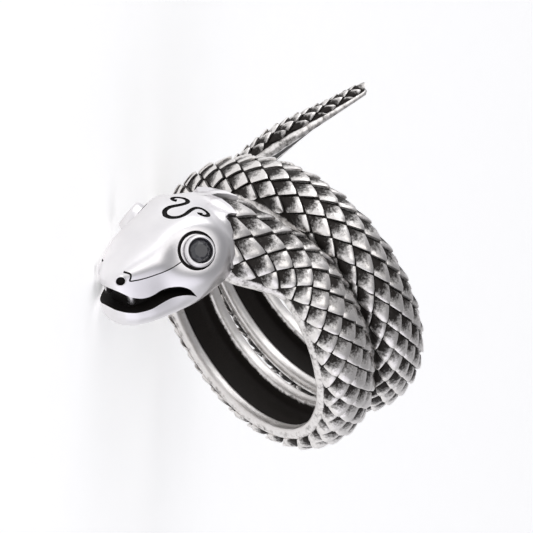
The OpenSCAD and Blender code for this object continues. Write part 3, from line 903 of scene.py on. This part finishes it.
def lip_cutter():
    """A plate wider than the head, shaped between the two lips."""
    bm = bmesh.new()
    lines = []
    for lip in (UPPER_LIP, LOWER_LIP):
        places = [HEAD @ Vector((p.x, -6, p.y)) for p in smooth_path(lip, 4)]
        lines.append([bmesh.ops.create_vert(bm, co=place)["vert"][0] for place in places])
    strip = []
    for k in range(len(lines[0]) - 1):
        corners = [lines[0][k], lines[0][k + 1], lines[1][k + 1], lines[1][k]]
        strip += bmesh.ops.contextual_create(bm, geom=corners if k else corners[:3])["faces"]
    bmesh.ops.delete(bm, geom=[lines[1][0]], context="VERTS")
    far = bmesh.ops.extrude_face_region(bm, geom=strip)["geom"]
    shove = HEAD.to_3x3() @ Vector((0, 12, 0))
    bmesh.ops.translate(bm, verts=[v for v in far if isinstance(v, bmesh.types.BMVert)], vec=shove)
    return bm


mouth_depth = 1.25
tongue = loft([head_ring(row_at(SKULL, 4.5 + ROW_STEP * k), mouth_depth) for k in range(23)])
slot = cut(lip_cutter(), tongue, "mouth_slot", least=0.02)
head_bm = cut(head_bm, slot, "mouth")


# %% [markdown]
# ### Engraved lines
# The crown carries a plain symmetrical scroll, each eye has a ring cut round its bezel,
# and a fine crease runs from each nostril to the eye. Their depth is about 0.2 mm.

# %% Cut the scroll, the eye rings, the creases and the nostrils
SCROLL = [
    (-0.42, 0), (-0.5, 0.4), (-0.88, 0.78), (-1.5, 0.84), (-2.25, 0.6), (-2.85, 0.5), (-3.2, 0.76),
    (-3.25, 1.28), (-3.0, 1.7), (-2.62, 1.78), (-2.42, 1.52), (-2.56, 1.25)]
CREASE = [
    (5.4, -0.54), (5.12, -0.74), (5.2, -1.02), (5.3, -1.26), (4.9, -1.35), (4.25, -1.41), (3.07, -1.4),
    (1.94, -1.3), (1.25, -1.22)]
scroll_middle, scroll_r = 0.38, 0.22
ring_gap, ring_r = 0.13, 0.14
crease_r, nostril_r = 0.09, 0.36
RING_STEPS = 48
scroll_cut, ring_cuts, crease_cuts = bmesh.new(), bmesh.new(), bmesh.new()
whole = [(x, scroll_middle - y) for x, y in SCROLL[:0:-1]] + [(x, scroll_middle + y) for x, y in SCROLL]
line = smooth_path(whole, 5)
path = [on_head(p.x, p.y, 5, (0, 0, -1)) for p in line]
shares = [abs(2 * k / (len(line) - 1) - 1) for k in range(len(line))]
radii = [scroll_r - 0.04 * share + 0.06 * math.exp(-((share - 0.97) / 0.05) ** 2) for share in shares]
tube(scroll_cut, [hit - normal * 0.02 for hit, normal in path], radii)
for side in (-1, 1):
    eye = eye_frame(side)
    way = eye.to_3x3() @ Vector((0, 0, -1))
    ring = []
    # The ring sits toward the crown, the far one more so, as it shows over the head's edge.
    to_crown = 0.12 if side == 1 else 0.62
    r = bezel_r + ring_gap
    for k in range(RING_STEPS):
        t = 2 * math.pi * k / RING_STEPS
        start = eye @ Vector((r * math.cos(t) + 0.08, r * math.sin(t) - side * to_crown, 2.5))
        hit, normal = on_head(start.x, start.y, start.z, way)
        ring.append(hit - normal * 0.02)
    if side == 1:
        heights = [((HEAD @ eye).inverted() @ h).z for h in ring]
        print("skin round the eye lies at", [round(n, 2) for n in (min(heights), max(heights))], "mm")
    tube(ring_cuts, ring, [ring_r] * len(ring), closed=True)
    path = [on_head(p.x, side * 8, p.y, (0, -side, 0)) for p in smooth_path(CREASE, 5)]
    count = len(path)
    radii = [crease_r - 0.05 * k / count for k in range(count)]
    tube(crease_cuts, [h - n * 0.01 for h, n in path], radii, sides=6)
for cutter, name in ((scroll_cut, "scroll"), (ring_cuts, "eye_rings"), (crease_cuts, "creases")):
    head_bm = cut(head_bm, cutter, name)

nostrils = bmesh.new()
nostril_frames = []
for side in (-1, 1):
    look = Vector((0.7, side * 0.65, 0.25)).normalized()
    start = Vector((5.6, side * 1.05, -1.2)) + 3 * look
    hit, normal = on_head(start.x, start.y, start.z, -look)
    sunk = Matrix.Translation(hit - normal * 0.08)
    bmesh.ops.create_icosphere(nostrils, subdivisions=3, radius=nostril_r, matrix=sunk)
    nostril_frames.append(Matrix.Translation(hit) @ normal.to_track_quat("Z", "Y").to_matrix().to_4x4())
    print("nostril at", [round(n, 2) for n in HEAD.inverted() @ hit])
head_bm = cut(head_bm, nostrils, "nostrils")
snake_head = finished(head_bm, "snake_head", [polished, film], sharp=34)

# %% [markdown]
# ### Fangs and bezels
# Two short cones hang from the upper lip. Each bezel is a ring of domed section, turned
# as on a lathe: its half profile is spun once round the eye's line. The nostrils' raised
# rims are turned in the same way, from a closed profile.

# %% Fangs
fangs = bmesh.new()
fang_size = {"radius1": 0.26, "radius2": 0.42, "depth": 1.2}
fang_round = {"offset": 0.18, "segments": 3, "profile": 0.5}
for side in (-1, 1):
    at = HEAD @ Matrix.Translation(Vector((5.1, side * 1.25, -3.2)))
    made = bmesh.ops.create_cone(fangs, cap_ends=True, segments=24, matrix=at, **fang_size)["verts"]
    tip = {e for v in made for e in v.link_edges
           if all((at.inverted() @ q.co).z < -0.5 for q in e.verts)}
    bmesh.ops.bevel(fangs, geom=list(tip), affect="EDGES", material=-1, **fang_round)
snake_fangs = finished(fangs, "snake_fangs", [polished])

# %% Bezels and the nostrils' rims
bezels = bmesh.new()
DOME = [
    (1.29, -0.7), (1.28, -0.15), (1.26, 0.0), (1.22, 0.14), (1.16, 0.26), (1.1, 0.33), (1.04, 0.35),
    (0.99, 0.31), (0.962, 0.22), (0.955, 0.05), (0.955, -0.6)]
LIP = [
    (0.35, -0.05), (0.35, 0.0), (0.37, 0.04), (0.41, 0.045), (0.44, 0.01), (0.46, -0.06), (0.44, -0.2),
    (0.39, -0.15)]
for at, outline in ((HEAD @ eye_frame(-1), DOME), (HEAD @ eye_frame(1), DOME),
                    (nostril_frames[0], LIP), (nostril_frames[1], LIP)):
    line = [bmesh.ops.create_vert(bezels, co=at @ Vector((r, 0, z)))["vert"][0] for r, z in outline]
    pairs = list(zip(line, line[1:])) + ([(line[-1], line[0])] if outline is LIP else [])
    edges = [bmesh.ops.contextual_create(bezels, geom=list(pair))["edges"][0] for pair in pairs]
    bmesh.ops.spin(bezels, geom=edges + line, cent=at.translation, axis=at.to_3x3() @ Vector((0, 0, 1)),
                   angle=2 * math.pi, steps=64, use_merge=True)
bmesh.ops.remove_doubles(bezels, verts=bezels.verts, dist=0.0005)
bmesh.ops.holes_fill(bezels, edges=bezels.edges, sides=0)
eye_bezels = finished(bezels, "eye_bezels", [polished], sharp=60)

# %% [markdown]
# ## The stones
# Each eye is a small brilliant: an eight-sided table, a crown of star and kite facets, a
# thin girdle and a pavilion. A stone's faces are flat, so the shape is the convex hull of
# a few rings of corners, and nothing is smoothed.

# %% Cut the two stones
# Radius and height of each ring of corners as shares of the stone's, how many corners it
# has, and its turn in steps between two corners.
STONE = [
    (0.56, 1.0, 8, 0), (0.79, 0.9, 8, 0.5), (1.0, 0.72, 16, 0.25), (1.0, 0.64, 16, 0.25),
    (0.5, 0.3, 8, 0), (0.02, 0.0, 4, 0)]


def cut_stone(name, side):
    bm = bmesh.new()
    eye = HEAD @ eye_frame(side)
    low = -0.7 * stone_h
    for share, height, count, turn in STONE:
        r = share * stone_d / 2
        for k in range(count):
            t = 2 * math.pi * (k + turn) / count
            at = Vector((r * math.cos(t), r * math.sin(t), low + height * stone_h))
            bmesh.ops.create_vert(bm, co=eye @ at)
    bmesh.ops.convex_hull(bm, input=bm.verts)
    bmesh.ops.dissolve_limit(bm, angle_limit=math.radians(1), verts=bm.verts, edges=bm.edges)
    stone = finished(bm, name, [stone_look], sharp=0.5)
    for face in stone.data.polygons:
        face.use_smooth = False
    return stone


stone_left = cut_stone("eye_stone_left_cut", 1)
stone_right = cut_stone("eye_stone_right_cut", -1)

# %% [markdown]
# ## What each piece stands for
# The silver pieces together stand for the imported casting, and each stone for its own
# node. Everything rides on the one body.

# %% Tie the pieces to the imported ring
for piece in (snake_core, snake_plates, snake_head, snake_fangs, eye_bezels):
    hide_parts("snake_ring")
    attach(piece, "root")
for piece, node in ((stone_left, "eye_stone_left"), (stone_right, "eye_stone_right")):
    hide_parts(node)
    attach(piece, "root")

# %% [markdown]
# ## Floor, light and camera
# Silver shows what surrounds it, so the light is a bright pale room: a pale floor, a
# large soft light on the side that is the photo's top, one near the camera, and a
# dimmer sky. The camera stands where the fitted view of the photo puts it.

# %% Floor
paper = blank("white_acrylic_lit_from_below")
where = add(paper, "TexCoord").outputs["Object"]
grain = add(paper, "TexNoise", links={"Vector": where}, Scale=400.0, Detail=2.0)
pale = mix(paper, grain.outputs["Fac"], linear("#FAFAFA"), linear("#F6F6F6"))
shader = add(paper, "BsdfPrincipled", links={"Base Color": pale, "Emission Color": pale})
shader.inputs["Roughness"].default_value = 0.9
shader.inputs["Emission Strength"].default_value = 0.42
output(paper, shader)
floor_bm = bmesh.new()
bmesh.ops.create_grid(floor_bm, x_segments=4, y_segments=4, size=2)
floor = finished(floor_bm, "floor", [paper], place=Matrix.Translation((0, 0, -0.00002)))

# %% Camera
# The fit of the photo gave the camera's directions and its aim in the upright ring's frame.
photo_width, pixels_per_mm, camera_mm = 533, 12.723, 500
right_ring = Vector((0.42646, -0.57201, -0.70065))
up_ring = Vector((0.29738, 0.82026, -0.48864))
back_ring = Vector((0.85421, 0, 0.51995))
turn_only = LYING.to_3x3() * 1000
right, up, back = [(turn_only @ v).normalized() for v in (right_ring, up_ring, back_ring)]
aim = LYING @ (Vector((0, 0, 3)) + 1.107 * right_ring + 3.595 * up_ring)
camera = bpy.data.objects.new("camera", bpy.data.cameras.new("camera"))
bpy.context.scene.collection.objects.link(camera)
camera.data.sensor_width = 36
camera.data.lens = 36 * pixels_per_mm * camera_mm / photo_width
camera.data.clip_start = 0.05
camera.data.clip_end = 10
facing = Matrix((right, up, back)).transposed().to_4x4()
camera.matrix_world = Matrix.Translation(aim + back * camera_mm / 1000) @ facing
bpy.context.scene.camera = camera
print("camera is", round(math.degrees(math.asin(back.z)), 1), "degrees above the floor")


# %% Lights
def soft_light(name, way, distance, size, watts, colour):
    """A rectangular lamp at that distance from the ring, turned to face it."""
    lamp = bpy.data.lights.new(name, "AREA")
    lamp.shape = "RECTANGLE"
    lamp.size, lamp.size_y = size
    lamp.energy = watts
    lamp.color = linear(colour)[:3]
    item = bpy.data.objects.new(name, lamp)
    bpy.context.scene.collection.objects.link(item)
    middle = Vector((0, 0, 0.01))
    place = middle + way.normalized() * distance
    item.location = place
    item.rotation_euler = (place - middle).to_track_quat("Z", "Y").to_euler()


soft_light("top_softbox", up * 1.0 + back * 0.2 + right * 0.1, 0.8, (0.9, 0.9), 3.1, "#FFFFFF")
soft_light("camera_softbox", back * 1.0 + up * 0.3 + right * 0.5, 0.9, (0.6, 0.6), 1.1, "#FFFDFB")
soft_light("low_softbox", -up * 1.0 + back * 0.5 + right * 0.3, 0.8, (0.7, 0.7), 0.8, "#F4F2FF")
world = bpy.data.worlds.new("pale_room")
bpy.context.scene.world = world
world.use_nodes = True
where = add(world, "TexCoord").outputs["Generated"]
height = add(world, "SeparateXYZ", links={0: where}).outputs["Z"]
sky = add(world, "MapRange", {"interpolation_type": "SMOOTHSTEP"}, {"Value": height},
          To_Min=0.95, To_Max=0.35)
backdrop = world.node_tree.nodes["Background"]
backdrop.inputs["Color"].default_value = linear("#F6F6FA")
world.node_tree.links.new(sky.outputs["Result"], backdrop.inputs["Strength"])
bpy.context.scene.view_settings.view_transform = "Standard"
bpy.context.scene.view_settings.look = "None"
